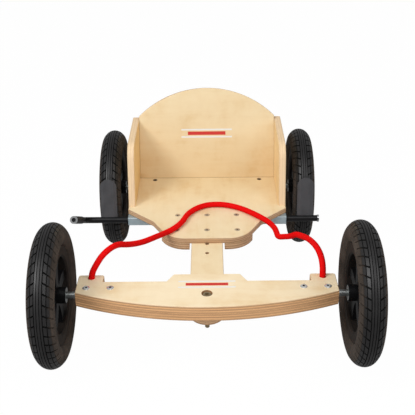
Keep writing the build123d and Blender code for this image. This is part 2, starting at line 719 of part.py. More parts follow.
# Wheels: tyre, inner tube with its valve, rim and a pair of ball bearings
for corner, sign, track, end in (
    ("front_left", 1, front_track, -1),
    ("front_right", -1, front_track, -1),
    ("rear_left", 1, rear_track, 1),
    ("rear_right", -1, rear_track, 1),
):
    centre = Vector(sign * track / 2, end * wheelbase / 2, wheel_radius)
    across = Plane(origin=centre, x_dir=(1, 0, 0), z_dir=(0, -1, 0))
    face_on = Plane(origin=centre, x_dir=(0, 1, 0), z_dir=(1, 0, 0))
    spin = Axis(centre, (1, 0, 0))

    with BuildPart() as tyre:
        with BuildSketch(across):
            side_half = tyre_width / 2
            shoulder = wheel_radius - shoulder_drop
            with BuildLine():
                Polyline(
                    (-bead_half, flange_radius),
                    (-bead_half, bead_radius),
                    (bead_half, bead_radius),
                    (bead_half, flange_radius),
                )
                ThreePointArc(
                    (bead_half, flange_radius),
                    (side_half, tyre_bulge_radius),
                    (shoulder_half, shoulder),
                )
                ThreePointArc((shoulder_half, shoulder), (0, wheel_radius), (-shoulder_half, shoulder))
                ThreePointArc(
                    (-shoulder_half, shoulder),
                    (-side_half, tyre_bulge_radius),
                    (-bead_half, flange_radius),
                )
            make_face()
            add(air_space(0), mode=Mode.SUBTRACT)
            for groove in tread_grooves:
                crown_radius = (shoulder_half**2 + shoulder_drop**2) / (2 * shoulder_drop)
                tilt = asin(groove / crown_radius)
                height = wheel_radius - crown_radius * (1 - cos(tilt))
                with Locations(Location((groove, height, 0), (0, 0, -degrees(tilt)))):
                    Rectangle(tread_groove_width, 2 * tread_groove_depth, mode=Mode.SUBTRACT)
        revolve(axis=spin)
    finish(tyre.part, f"{corner}_tyre")

    with BuildPart() as inner_tube:
        with BuildSketch(across):
            add(air_space(swing_gap))
            add(air_space(swing_gap + tube_wall), mode=Mode.SUBTRACT)
        revolve(axis=spin)
        stem_root = bead_radius + swing_gap + tube_wall / 2
        stem = Plane(
            origin=centre + Vector(0, cos(radians(valve_angle)), sin(radians(valve_angle))) * stem_root,
            x_dir=(1, 0, 0),
            z_dir=(0, -cos(radians(valve_angle)), -sin(radians(valve_angle))),
        )
        with BuildSketch(stem):
            Circle(valve_radius)
        extrude(amount=valve_length)
    finish(inner_tube.part, f"{corner}_inner_tube")

    with BuildPart() as rim:
        with BuildSketch(across):
            with BuildLine():
                Polyline(
                    (-rim_half, flange_radius),
                    (-bead_half, flange_radius),
                    (-bead_half, rim_seat),
                    (bead_half, rim_seat),
                    (bead_half, flange_radius),
                    (rim_half, flange_radius),
                    (rim_half, rim_inner_radius + rim_lip),
                    (rim_half - rim_lip, rim_inner_radius),
                    (-rim_half + rim_lip, rim_inner_radius),
                    (-rim_half, rim_inner_radius + rim_lip),
                    close=True,
                )
            make_face()
        revolve(axis=spin)
        with BuildSketch(face_on.offset(-hub_half)):
            Circle(hub_radius)
        extrude(amount=hub_length)
        with BuildSketch(face_on.offset(-spoke_thickness / 2)):
            with PolarLocations(0, spoke_count):
                SlotArc(spoke_arc, spoke_width)
        extrude(amount=spoke_thickness)
        with BuildSketch(face_on.offset(-hub_half)):
            Circle(hub_bore_radius)
        extrude(amount=hub_length, mode=Mode.SUBTRACT)
        for face in (-hub_half, hub_half - bearing_width):
            with BuildSketch(face_on.offset(face)):
                Circle(bearing_radius + screw_gap / 2)
            extrude(amount=bearing_width, mode=Mode.SUBTRACT)
        with BuildSketch(stem):
            Circle(valve_radius + fit_gap)
        extrude(amount=valve_length / 2, mode=Mode.SUBTRACT)
    finish(rim.part, f"{corner}_rim")

    # Both bearings and the distance tube between their inner races, in one turned section
    with BuildPart() as bearings:
        race_in = axle_radius + running_gap
        bearing_depth = bearing_radius - race_in
        with BuildSketch(across):
            with Locations((0, race_in + bearing_race / 2)):
                Rectangle(hub_length, bearing_race)
            ends = (-hub_half + bearing_width / 2, hub_half - bearing_width / 2)
            with Locations(*[(x, race_in + bearing_depth / 2) for x in ends]):
                Rectangle(bearing_width, bearing_depth)
            faces = (-hub_half + bearing_recess / 2, hub_half - bearing_recess / 2)
            with Locations(*[(x, race_in + bearing_depth / 2) for x in faces]):
                Rectangle(bearing_recess, bearing_depth - 2 * bearing_race, mode=Mode.SUBTRACT)
        revolve(axis=spin)
    finish(bearings.part, f"{corner}_bearings")

# Brake housing: a square tube under the seat board, with a bush in each end
shaft_at = (housing_s, housing_n)
inner_size = housing_size - 2 * housing_wall
with BuildPart() as brake_housing:
    with BuildSketch(side_view.offset(-panel_outer)):
        with Locations(shaft_at):
            RectangleRounded(housing_size, housing_size, 2)
            Rectangle(inner_size, inner_size, mode=Mode.SUBTRACT)
    extrude(amount=2 * panel_outer)
    slot_length = 2 * (stop_pin_radius + swing_gap) + stop_slot_travel
    with BuildSketch(board.offset(-housing_size + housing_wall + 1)):
        with Locations((0, housing_s - stop_slot_travel / 2)):
            Rectangle(2 * (stop_pin_radius + fit_gap), slot_length)
    extrude(amount=-housing_wall - 2, mode=Mode.SUBTRACT)
finish(brake_housing.part, "brake_housing")

with BuildPart() as brake_bushes:
    for sign in (-1, 1):
        with BuildSketch(side_view.offset(sign * panel_outer)):
            with Locations(shaft_at):
                Circle(bush_flange_radius)
        extrude(amount=sign * bush_flange)
        with BuildSketch(side_view.offset(sign * panel_outer)):
            with Locations(shaft_at):
                Rectangle(inner_size - fit_gap, inner_size - fit_gap)
        extrude(amount=-sign * bush_stem)
    with BuildSketch(side_view.offset(-panel_outer - bush_flange)):
        with Locations(shaft_at):
            Circle(shaft_radius + running_gap)
    extrude(amount=2 * (panel_outer + bush_flange), mode=Mode.SUBTRACT)
finish(brake_bushes.part, "brake_bushes")

# Angle brackets behind the housing, screwed up into the seat board
with BuildPart() as housing_brackets:
    for x in both_sides(bracket_x):
        with BuildSketch(side_view.offset(x - bracket_width / 2)):
            with Locations((bracket_front + bracket_thickness / 2, housing_n)):
                Rectangle(bracket_thickness, housing_size)
            with Locations((bracket_middle - bracket_thickness / 2, -bracket_thickness / 2)):
                Rectangle(bracket_foot, bracket_thickness)
        extrude(amount=bracket_width)
    pegs(board, bracket_screw_points, screw_radius + screw_gap, bracket_thickness, Mode.SUBTRACT)
finish(housing_brackets.part, "housing_brackets")

with BuildPart() as bracket_screws:
    pegs(board.offset(-bracket_thickness), bracket_screw_points, 2 * screw_radius, screw_radius)
    screw_tips = board.offset(bracket_screw_length - bracket_thickness)
    pegs(screw_tips, bracket_screw_points, screw_radius, bracket_screw_length)
finish(bracket_screws.part, "bracket_screws")

# Brake shaft: a tube across the car, its right end bent forward and up into the hand lever
lever_tip = (
    lever_x,
    housing_s - lever_length * cos(radians(lever_angle)),
    housing_n + lever_length * sin(radians(lever_angle)),
)
with BuildPart() as brake_shaft:
    with BuildLine():
        FilletPolyline(
            world(shaft_left_end, housing_s, housing_n),
            world(lever_x, housing_s, housing_n),
            world(*lever_tip),
            radius=lever_bend,
        )
    with BuildSketch(Plane(origin=world(shaft_left_end, *shaft_at), z_dir=(-1, 0, 0))):
        Circle(shaft_radius)
        Circle(shaft_radius - shaft_wall, mode=Mode.SUBTRACT)
    sweep()
    pegs(board.offset(housing_n), [(0, housing_s)], stop_pin_radius, shaft_radius, Mode.SUBTRACT)
finish(brake_shaft.part, "brake_shaft")

lever_dir = (world(*lever_tip) - world(lever_x, *shaft_at)).normalized()
lever_end = Plane(origin=world(*lever_tip), x_dir=(1, 0, 0), z_dir=lever_dir)
shaft_end = Plane(origin=world(shaft_left_end, *shaft_at), x_dir=(0, 1, 0), z_dir=(1, 0, 0))

with BuildPart() as brake_grip:
    with BuildSketch(lever_end.offset(-grip_length)):
        Circle(grip_radius)
        Circle(shaft_radius + fit_gap / 2, mode=Mode.SUBTRACT)
    extrude(amount=grip_length)
finish(brake_grip.part, "brake_grip")

with BuildPart() as brake_end_plugs:
    for end_plane in (lever_end, shaft_end):
        with BuildSketch(end_plane):
            Circle(shaft_radius - shaft_wall - fit_gap / 2)
        extrude(amount=-plug_stem)
        with BuildSketch(end_plane):
            Circle(grip_radius)
        extrude(amount=plug_head)
        with BuildSketch(end_plane.offset(plug_head)):
            Circle(plug_dish_radius)
        extrude(amount=-plug_dish_depth, mode=Mode.SUBTRACT)
finish(brake_end_plugs.part, "brake_end_plugs")

with BuildPart() as brake_stop_pin:
    pegs(board.offset(housing_n), [(0, housing_s)], stop_pin_radius, stop_pin_length)
finish(brake_stop_pin.part, "brake_stop_pin")

# Brake shoes: folded plates welded on the shaft in front of the rear tyres, each with a lining
shoe_up = board.y_dir * sin(shoe_tilt) + board.z_dir * cos(shoe_tilt)
shoe_out = board.z_dir * sin(shoe_tilt) - board.y_dir * cos(shoe_tilt)
plate_half = shoe_plate / 2
shoe_half = shoe_width / 2
flat_half = shoe_flat / 2


def shoe_shape(half, low, high):
    with BuildSketch(Plane.XY, mode=Mode.PRIVATE) as shape:
        with BuildLine():
            Polyline((-half, high - half), (-half, low), (half, low), (half, high - half))
            ThreePointArc((half, high - half), (0, high), (-half, high - half))
        make_face()
    return shape.sketch


for side, sign in (("left", 1), ("right", -1)):
    root = world(sign * rear_track / 2, *shaft_at)
    with BuildPart() as shoe:
        with BuildSketch(Plane(origin=root, x_dir=(1, 0, 0), z_dir=shoe_up)):
            with BuildLine():
                Polyline(
                    (-shoe_half, shoe_fold - plate_half),
                    (-flat_half, -plate_half),
                    (flat_half, -plate_half),
                    (shoe_half, shoe_fold - plate_half),
                    (shoe_half, shoe_fold + plate_half),
                    (flat_half, plate_half),
                    (-flat_half, plate_half),
                    (-shoe_half, shoe_fold + plate_half),
                    close=True,
                )
            make_face()
        extrude(amount=shoe_height)
        with BuildSketch(Plane(origin=root, x_dir=(1, 0, 0), z_dir=shoe_out)):
            add(shoe_shape(shoe_half, 0, shoe_height))
        extrude(amount=shoe_half, both=True, mode=Mode.INTERSECT)
        with BuildSketch(side_view.offset(sign * rear_track / 2)):
            with Locations(shaft_at):
                Circle(shaft_radius)
        extrude(amount=shoe_width, both=True, mode=Mode.SUBTRACT)
    finish(shoe.part, f"{side}_brake_shoe")

with BuildPart() as brake_linings:
    for sign in (-1, 1):
        root = world(sign * rear_track / 2, *shaft_at)
        with BuildSketch(Plane(origin=root - shoe_out * plate_half, x_dir=(1, 0, 0), z_dir=shoe_out)):
            add(shoe_shape(flat_half, lining_start, shoe_height - 4))
        extrude(amount=-lining_thickness)
finish(brake_linings.part, "brake_linings")

# Steering rope: (x, s, n) of its route, from under one tab of the beam, over the seat, to the other
rope_route = [
    (-253.5, 38.0, 20.0),
    (-253.5, 38.0, 46.0),
    (-241.3, 44.0, 69.0),
    (-225.9, 62.0, 86.3),
    (-202.1, 98.0, 88.0),
    (-178.1, 138.0, 61.6),
    (-150.4, 172.0, 47.0),
    (-127.0, 204.0, 39.7),
    (-103.8, 252.7, 22.8),
    (-82.2, 274.1, 22.6),
    (-62.4, 305.1, 22.8),
    (-48.2, 354.7, 22.6),
    (-11.4, 393.9, 22.8),
    (36.7, 400.7, 22.6),
    (83.5, 380.0, 22.8),
    (120.0, 345.9, 22.6),
    (151.2, 309.1, 22.8),
    (166.5, 276.4, 22.6),
    (169.7, 251.2, 22.8),
    (171.3, 231.0, 22.6),
    (186.5, 223.0, 28.3),
    (200.0, 209.0, 37.4),
    (210.0, 196.0, 51.4),
    (222.5, 175.0, 57.8),
    (233.6, 146.0, 68.5),
    (244.4, 98.0, 78.9),
    (250.8, 66.0, 74.8),
    (253.3, 48.0, 62.0),
    (253.5, 38.0, 43.0),
    (253.5, 38.0, 20.0),
]
rope_points = [world(*point) for point in rope_route]
rope_radii = []
for before, corner, after in zip(rope_points, rope_points[1:], rope_points[2:]):
    turn = (corner - before).get_angle(after - corner)
    shorter = min((corner - before).length, (after - corner).length)
    rope_radii.append(0.45 * shorter / tan(radians(turn / 2)))
print("rope radii", [round(radius) for radius in rope_radii])
with BuildPart() as steering_rope:
    with BuildLine() as rope_line:
        FilletPolyline(*rope_points, radius=rope_radii)
    with BuildSketch(Plane(origin=rope_points[0], x_dir=(1, 0, 0), z_dir=board.z_dir)):
        Circle(rope_radius)
    sweep()
rope_length = sum(edge.length for edge in rope_line.edges())
section = 3.14159265 * rope_radius**2
print("rope length", round(rope_length, 1), "volume ratio", steering_rope.part.volume / (section * rope_length))
finish(steering_rope.part, "steering_rope")

# Stopper knots under the tabs, each with a short tail
knot_radius = 15.0
knot_height = 22.0
tail_length = 24.0
with BuildPart() as rope_knots:
    for x in both_sides(rope_hole_x):
        under_tab = world(x, rope_hole_s, front_axle_n)
        with BuildSketch(Plane(origin=under_tab, x_dir=(1, 0, 0), z_dir=-board.y_dir)):
            with BuildLine():
                Line((0, 0), (rope_radius, 0))
                ThreePointArc((rope_radius, 0), (knot_radius, -knot_height / 2), (rope_radius, -knot_height))
                Polyline(
                    (rope_radius, -knot_height),
                    (rope_radius, -knot_height - tail_length),
                    (0, -knot_height - tail_length),
                    (0, 0),
                )
            make_face()
        revolve(axis=Axis(under_tab, board.z_dir))
finish(rope_knots.part, "rope_knots")
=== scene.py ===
import json
import math

import bmesh
import bpy
import numpy as np
from mathutils import Matrix, Vector


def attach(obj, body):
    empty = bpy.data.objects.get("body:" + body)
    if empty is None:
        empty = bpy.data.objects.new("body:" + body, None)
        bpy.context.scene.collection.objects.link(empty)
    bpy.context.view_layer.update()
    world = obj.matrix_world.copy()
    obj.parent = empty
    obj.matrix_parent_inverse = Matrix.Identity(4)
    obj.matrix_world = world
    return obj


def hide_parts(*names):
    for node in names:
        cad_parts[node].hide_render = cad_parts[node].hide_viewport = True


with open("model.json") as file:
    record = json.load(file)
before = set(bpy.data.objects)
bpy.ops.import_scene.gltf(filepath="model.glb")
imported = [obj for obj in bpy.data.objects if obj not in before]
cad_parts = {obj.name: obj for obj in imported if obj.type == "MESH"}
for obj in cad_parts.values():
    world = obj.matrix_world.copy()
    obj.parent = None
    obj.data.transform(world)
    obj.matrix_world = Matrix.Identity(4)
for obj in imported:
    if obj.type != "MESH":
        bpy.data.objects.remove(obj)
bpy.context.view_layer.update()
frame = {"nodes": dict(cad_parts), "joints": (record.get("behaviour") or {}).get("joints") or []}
nodes = frame["nodes"]
joints = {joint["name"]: joint for joint in frame["joints"]}
print("frame loaded:", len(nodes), "CAD nodes")

# The boards share one sloping plane: x across, s rearward along the spine, n square to the boards
boardUp = Vector(joints["steering_pivot"]["axis"])
boardBack = Vector((0, boardUp.z, -boardUp.y))
pivotAt = Vector(joints["steering_pivot"]["pos_m"])
pivotS = -23.0      # where the pivot stands along the spine
boardPitch = math.atan2(-boardUp.y, boardUp.z)
boardOrigin = pivotAt - boardBack * pivotS / 1000


def onBoard(x, s, n):
    return boardOrigin + Vector((x, 0, 0)) / 1000 + boardBack * s / 1000 + boardUp * n / 1000


# Camera, matched to the wheels and boards of the photograph
cameraSettings = {
    "place": (0.01095, -1.7216, 1.0760),
    "pan": -0.005374,
    "tilt": 0.457234,
    "roll": -0.011547,
    "lens": 68.3,
}


def addCamera(settings):
    pan, tilt, roll = settings["pan"], settings["tilt"], settings["roll"]
    ahead = Vector((math.sin(pan) * math.cos(tilt), math.cos(pan) * math.cos(tilt), -math.sin(tilt)))
    level = Vector((math.cos(pan), -math.sin(pan), 0))
    upright = level.cross(ahead)
    right = level * math.cos(roll) + upright * math.sin(roll)
    up = upright * math.cos(roll) - level * math.sin(roll)
    camera = bpy.data.objects.new("camera", bpy.data.cameras.new("camera"))
    camera.data.sensor_width = 36
    camera.data.lens = settings["lens"]
    camera.data.clip_end = 50
    camera.matrix_world = Matrix(
        (
            (right.x, up.x, -ahead.x, settings["place"][0]),
            (right.y, up.y, -ahead.y, settings["place"][1]),
            (right.z, up.z, -ahead.z, settings["place"][2]),
            (0, 0, 0, 1),
        )
    )
    bpy.context.scene.collection.objects.link(camera)
    bpy.context.scene.camera = camera


addCamera(cameraSettings)
bpy.context.scene.view_settings.view_transform = "Standard"
print("camera placed")


# Small helpers for meshes
def addMesh(name, verts, faces, sharp=35.0, material=None):
    mesh = bpy.data.meshes.new(name)
    mesh.from_pydata([tuple(v) for v in verts], [], faces)
    tidyMesh(mesh, sharp)
    piece = bpy.data.objects.new(name, mesh)
    bpy.context.scene.collection.objects.link(piece)
    if material:
        mesh.materials.append(material)
    return piece


def tidyMesh(mesh, sharp):
    work = bmesh.new()
    work.from_mesh(mesh)
    bmesh.ops.recalc_face_normals(work, faces=work.faces)
    for face in work.faces:
        face.smooth = True
    for edge in work.edges:
        edge.smooth = len(edge.link_faces) != 2 or edge.calc_face_angle(0) < math.radians(sharp)
    work.to_mesh(mesh)
    work.free()


def ringFaces(rows, columns, closedRows=False):
    faces = []
    lastRow = rows if closedRows else rows - 1
    for i in range(lastRow):
        for j in range(columns):
            a = i * columns + j
            b = i * columns + (j + 1) % columns
            c = ((i + 1) % rows) * columns + (j + 1) % columns
            d = ((i + 1) % rows) * columns + j
            faces.append((a, b, c, d))
    return faces


# Small helpers for materials
def newMaterial(name):
    material = bpy.data.materials.new(name)
    material.use_nodes = True
    return material, material.node_tree, material.node_tree.nodes["Principled BSDF"]


def addNode(tree, kind, inputs=None, **settings):
    node = tree.nodes.new("ShaderNode" + kind)
    for key, value in settings.items():
        setattr(node, key, value)
    for key, value in (inputs or {}).items():
        if isinstance(value, bpy.types.NodeSocket):
            tree.links.new(value, node.inputs[key])
        else:
            node.inputs[key].default_value = value
    return node


def calc(tree, operation, a, b=0.0, clamp=False):
    return addNode(tree, "Math", {0: a, 1: b}, operation=operation, use_clamp=clamp).outputs[0]


def ramp(tree, factor, stops):
    node = addNode(tree, "ValToRGB", {"Fac": factor})
    elements = node.color_ramp.elements
    while len(elements) < len(stops):
        elements.new(0.5)
    for element, (place, colour) in zip(elements, stops):
        element.position = place
        element.color = (*colour, 1)
    return node.outputs["Color"]


def mixColour(tree, factor, a, b, blend="MIX"):
    node = addNode(tree, "Mix", data_type="RGBA", blend_type=blend)
    for socket, value in ((node.inputs[0], factor), (node.inputs[6], a), (node.inputs[7], b)):
        if isinstance(value, bpy.types.NodeSocket):
            tree.links.new(value, socket)
        elif isinstance(value, tuple):
            socket.default_value = (*value, 1)
        else:
            socket.default_value = value
    return node.outputs[2]


def addBump(tree, shader, height, strength, distance):
    bump = addNode(tree, "Bump", {"Height": height, "Strength": strength, "Distance": distance})
    tree.links.new(bump.outputs["Normal"], shader.inputs["Normal"])


def stretched(tree, vector, scale):
    return addNode(tree, "Mapping", {"Vector": vector, "Scale": scale}).outputs[0]


def axesOf(tree, vector):
    return addNode(tree, "SeparateXYZ", {0: vector}).outputs


def noise(tree, vector, scale, detail, roughness=0.5, distortion=0.0):
    values = {"Vector": vector, "Scale": scale, "Detail": detail}
    values.update({"Roughness": roughness, "Distortion": distortion})
    return addNode(tree, "TexNoise", values).outputs["Fac"]


def between(tree, value, low, high, start=0.0, end=1.0):
    values = {"Value": value, "From Min": start, "From Max": end, "To Min": low, "To Max": high}
    return addNode(tree, "MapRange", values).outputs[0]


# Birch plywood: pale veneer on the faces, stacked plies on the edges
plySettings = {
    "pale": (0.860, 0.705, 0.455),
    "figure": (0.775, 0.575, 0.315),
    "pore": (0.52, 0.34, 0.15),
    "edgePale": (0.78, 0.52, 0.30),
    "edgeDark": (0.36, 0.18, 0.085),
    "glue": (0.11, 0.048, 0.021),
    "outerPly": 0.0011,
    "innerPlies": 5,
    "glueShare": 0.21,      # of one inner ply
    # Colour and share of the dark lines painted as the shadows in the gaps between parts
    "gapShadow": (0.22, 0.12, 0.05),
    "gapShadowStrength": 0.6,
    "faceRoughness": 0.46,
    "edgeRoughness": 0.68,
    "faceFrom": 0.62,       # a surface that faces across the board this much shows the face veneer
    "faceSharpness": 6.0,
    "flame": (34.0, 5.0),   # noise scales across the grain and along it
    "pores": (900.0, 22.0),
    "streaks": (9.0, 420.0),    # along the edge and through the plies
    "clouds": 13.0,
    "wobble": 60.0,
    "wobbleShare": 0.18,
    "flameShare": 0.35,
    "poresFrom": 0.62,
    "poreStrength": 0.9,
    "innerLine": 0.58,
    "outerLine": 0.9,
    "crossPly": 0.26,
    "streakShare": 0.85,
    "bump": 0.12,
    "bumpDepth": 0.0006,
}

# Painted bars on a board: middle across and up the board, half width, half height and colour
barSettings = {
    "chalk": (0.80, 0.78, 0.74),
    "red": (0.60, 0.030, 0.020),
    "wear": 0.35,
    "backrest": [
        (0.0, 0.134, 0.070, 0.0022, "chalk"),
        (0.0, 0.124, 0.052, 0.0048, "red"),
        (0.0, 0.114, 0.070, 0.0022, "chalk"),
    ],
    "beam": [
        (0.0, 0.022, 0.062, 0.0024, "chalk"),
        (0.0, 0.011, 0.046, 0.0050, "red"),
        (0.0, 0.000, 0.062, 0.0024, "chalk"),
    ],
}


def within(tree, value, middle, half):
    beside = calc(tree, "ABSOLUTE", calc(tree, "SUBTRACT", value, middle))
    return calc(tree, "LESS_THAN", beside, half)


def paintBars(tree, axes, wear, colour, bars, rise, showing):
    for x, y, halfX, halfY, paint in bars:
        inside = within(tree, axes[0], x, halfX)
        inside = calc(tree, "MULTIPLY", inside, within(tree, axes[rise], y, halfY))
        inside = calc(tree, "MULTIPLY", calc(tree, "MULTIPLY", inside, showing), wear)
        colour = mixColour(tree, inside, colour, barSettings[paint])
    return colour


# Plywood of one board: across and along are the axes square to it and along its grain, base and thick
# say where its plies lie, inward is the side whose faces take the inner tint of painted shade, rise is
# the bars' upward axis and front the side they are on, the seam lines are painted shadows of the gaps
# between parts, and the deeper colour is painted shade, a slow change to a deeper colour toward a corner
def plyMaterial(
    name, turn, origin, across, along, base, thick,
    tint=(1.0, 1.0, 1.0), innerShade=None, inward=1.0, stripes=1.0, edgeTint=(1.0, 1.0, 1.0),
    bars=(), rise=2, front=1.0, gapShadows=(), cornerShade=None,
):
    values = plySettings
    material, tree, shader = newMaterial(name)
    coords = addNode(tree, "TexCoord")
    place = addNode(
        tree,
        "Mapping",
        {"Vector": coords.outputs["Object"], "Location": origin, "Rotation": (turn, 0, 0)},
        vector_type="TEXTURE",
    ).outputs[0]
    facing = addNode(
        tree,
        "Mapping",
        {"Vector": coords.outputs["Normal"], "Rotation": (turn, 0, 0)},
        vector_type="TEXTURE",
    ).outputs[0]
    axes = axesOf(tree, place)
    straight = axesOf(tree, facing)[across]
    onFace = calc(tree, "SUBTRACT", calc(tree, "ABSOLUTE", straight), values["faceFrom"])
    onFace = calc(tree, "MULTIPLY", onFace, values["faceSharpness"], clamp=True)

    # Face figure: cloudy golden mottle, long faint flames and fine pores drawn out along the grain
    def drawnOut(scales, axis):
        scale = [scales[0]] * 3
        scale[axis] = scales[1]
        return stretched(tree, place, scale)

    flame = noise(tree, drawnOut(values["flame"], along), 1.0, 5.0, 0.55, 0.8)
    pores = noise(tree, drawnOut(values["pores"], along), 1.0, 3.0)
    clouds = noise(tree, place, values["clouds"], 4.0, 0.6)
    flame = calc(tree, "MULTIPLY", flame, values["flameShare"])
    mottle = calc(tree, "ADD", flame, calc(tree, "MULTIPLY", clouds, 1 - values["flameShare"]))

    def faceColour(shade):
        pale = tuple(c * share for c, share in zip(values["pale"], shade))
        figure = tuple(c * share for c, share in zip(values["figure"], shade))
        middle = tuple(0.7 * a + 0.3 * b for a, b in zip(pale, figure))
        return ramp(tree, mottle, [(0.40, pale), (0.52, middle), (0.66, figure)])

    face = faceColour(tint)
    # Painted shade and bounce light: faces on the inward side take a darker, more golden tint.
    if innerShade:
        facesIn = calc(tree, "GREATER_THAN", calc(tree, "MULTIPLY", straight, inward), 0.5)
        face = mixColour(tree, facesIn, face, faceColour(innerShade))
    # Painted shade: the face colour deepens slowly toward the corner between the boards.
    if cornerShade:
        axis, start, full, shade = cornerShade
        amount = between(tree, axes[axis], 0.0, 1.0, start, full)
        face = mixColour(tree, amount, face, mixColour(tree, 1.0, face, shade, "MULTIPLY"))
    specks = calc(tree, "SUBTRACT", pores, values["poresFrom"])
    specks = calc(tree, "MULTIPLY", specks, values["poreStrength"], clamp=True)
    face = mixColour(tree, specks, face, values["pore"])
    if bars:
        wear = calc(tree, "SUBTRACT", 1.0, calc(tree, "MULTIPLY", specks, barSettings["wear"]))
        showing = calc(tree, "GREATER_THAN", calc(tree, "MULTIPLY", straight, front), 0.5)
        face = paintBars(tree, axes, wear, face, bars, rise, showing)
    # Painted shadow: dark lines where the gaps between the backrest, seat and panels would be.
    for axis, middle, half in gapShadows:
        gapShadow = calc(tree, "MULTIPLY", within(tree, axes[axis], middle, half), values["gapShadowStrength"])
        face = mixColour(tree, gapShadow, face, values["gapShadow"])

    # Edge: thin outer plies over thick inner ones, alternately long grain and end grain, with glue lines
    wobble = noise(tree, place, values["wobble"], 2.0)
    wobble = calc(tree, "MULTIPLY", calc(tree, "SUBTRACT", wobble, 0.5), values["wobbleShare"])
    inBoard = calc(tree, "FLOORED_MODULO", calc(tree, "SUBTRACT", axes[across], base), thick)
    innerPly = (thick - 2 * values["outerPly"]) / values["innerPlies"]
    layer = calc(tree, "DIVIDE", calc(tree, "SUBTRACT", inBoard, values["outerPly"]), innerPly)
    layer = calc(tree, "ADD", layer, wobble)
    parity = calc(tree, "FLOORED_MODULO", calc(tree, "ADD", calc(tree, "FLOOR", layer), 1.0), 2.0)
    line = calc(tree, "LESS_THAN", calc(tree, "FRACT", layer), values["glueShare"])
    fromMiddle = calc(tree, "ABSOLUTE", calc(tree, "SUBTRACT", layer, values["innerPlies"] / 2))
    outerLine = calc(tree, "GREATER_THAN", fromMiddle, values["innerPlies"] / 2 - 0.5)
    lineDark = between(tree, outerLine, values["innerLine"] * stripes, values["outerLine"] * stripes)
    grain = noise(tree, drawnOut(values["streaks"], across), 1.0, 4.0, 0.65)
    crossPly = calc(tree, "MULTIPLY", parity, values["crossPly"])
    mottled = calc(tree, "ADD", crossPly, calc(tree, "MULTIPLY", grain, values["streakShare"]))
    mottled = calc(tree, "MULTIPLY", mottled, stripes)
    edgePale = tuple(c * share for c, share in zip(values["edgePale"], edgeTint))
    edge = ramp(tree, mottled, [(0.25, edgePale), (0.90, values["edgeDark"])])
    edge = mixColour(tree, calc(tree, "MULTIPLY", line, lineDark), edge, values["glue"])
    tree.links.new(mixColour(tree, onFace, edge, face), shader.inputs["Base Color"])
    rough = between(tree, onFace, values["edgeRoughness"], values["faceRoughness"])
    tree.links.new(rough, shader.inputs["Roughness"])
    relief = calc(tree, "ADD", calc(tree, "MULTIPLY", pores, 0.5), calc(tree, "MULTIPLY", grain, 0.5))
    addBump(tree, shader, relief, values["bump"], values["bumpDepth"])
    return material


# Boards of the CAD model: lean of the backrest and its foot, thicknesses, inner faces of the side panels
origin = tuple(boardOrigin)
backLean = math.radians(20.0)
backFoot = tuple(onBoard(0, 568, 15))
thinPly, thickPly = 0.015, 0.018
panelInside = 0.1865
panelLooks = {"stripes": 0.45, "edgeTint": (1.12, 1.25, 1.35)}
woodOf = {
    # The seat and backrest darken toward the corner between them: painted shade.
    "seat_board": plyMaterial(
        "birch seat board", boardPitch, origin, 2, 1, 0.0, thinPly,
        cornerShade=(1, 0.42, 0.568, (0.91, 0.86, 0.78)),
    ),
    "spine_plank": plyMaterial("birch spine", boardPitch, origin, 2, 1, 0.0, thickPly),
    "left_seat_block": plyMaterial("birch blocks", boardPitch, origin, 2, 0, 0.0, thickPly),
    "rear_axle_bearer": plyMaterial("birch bearer", boardPitch, origin, 2, 0, 0.0, thickPly),
    "beam_top_board": plyMaterial(
        "birch beam", boardPitch, origin, 2, 0, 0.002, thickPly,
        tint=(1.04, 1.06, 1.13), edgeTint=(1.17, 1.02, 0.82), bars=barSettings["beam"], rise=1,
    ),
    # The backrest's seam lines are painted shadows of its joints with the seat and the panels.
    "backrest": plyMaterial(
        "birch backrest", boardPitch - backLean, backFoot, 1, 0, 0.0, thickPly, tint=(0.95, 0.94, 0.92),
        bars=barSettings["backrest"], front=-1.0, cornerShade=(2, 0.17, 0.0, (0.93, 0.86, 0.76)),
        gapShadows=((2, 0.0, 0.0011), (0, panelInside, 0.0009), (0, -panelInside, 0.0009)),
    ),
    # The side panels' tints, mild outside and stronger on their inner faces, are painted shade and warm
    # bounce light.
    "left_side_panel": plyMaterial(
        "birch left panel", boardPitch, origin, 0, 1, panelInside, thickPly,
        tint=(1.0, 0.95, 0.88), innerShade=(1.03, 0.96, 0.82), inward=-1.0, **panelLooks
    ),
    "right_side_panel": plyMaterial(
        "birch right panel", boardPitch, origin, 0, 1, -panelInside - thickPly, thickPly,
        tint=(1.0, 0.93, 0.84), innerShade=(1.00, 0.86, 0.58), inward=1.0, **panelLooks
    ),
}
woodOf["right_seat_block"] = woodOf["left_seat_block"]
woodOf["beam_bottom_board"] = woodOf["beam_top_board"]
print("plywood made")


# Metals, plastics and rubber
surfaceSettings = {
    "clouds": 35.0,
    "cloudSpan": (0.35, 0.75),
    "darker": 0.72,
    "coatRoughness": 0.25,
    "bumpDepth": 0.0004,
}


def roughMaterial(
    name, colour, roughness,
    metal=0.0, spread=0.06, grain=300.0, bump=0.05, coat=0.0, second=None, gloss=0.5,
):
    values = surfaceSettings
    material, tree, shader = newMaterial(name)
    place = addNode(tree, "TexCoord").outputs["Object"]
    cloud = noise(tree, place, values["clouds"], 4.0)
    other = second or tuple(values["darker"] * c for c in colour)
    start, end = values["cloudSpan"]
    tree.links.new(ramp(tree, cloud, [(start, colour), (end, other)]), shader.inputs["Base Color"])
    speck = noise(tree, place, grain, 3.0)
    rough = between(tree, speck, roughness - spread, roughness + spread)
    tree.links.new(rough, shader.inputs["Roughness"])
    shader.inputs["Metallic"].default_value = metal
    shader.inputs["Specular IOR Level"].default_value = gloss
    shader.inputs["Coat Weight"].default_value = coat
    shader.inputs["Coat Roughness"].default_value = values["coatRoughness"]
    addBump(tree, shader, speck, bump, values["bumpDepth"])
    return material


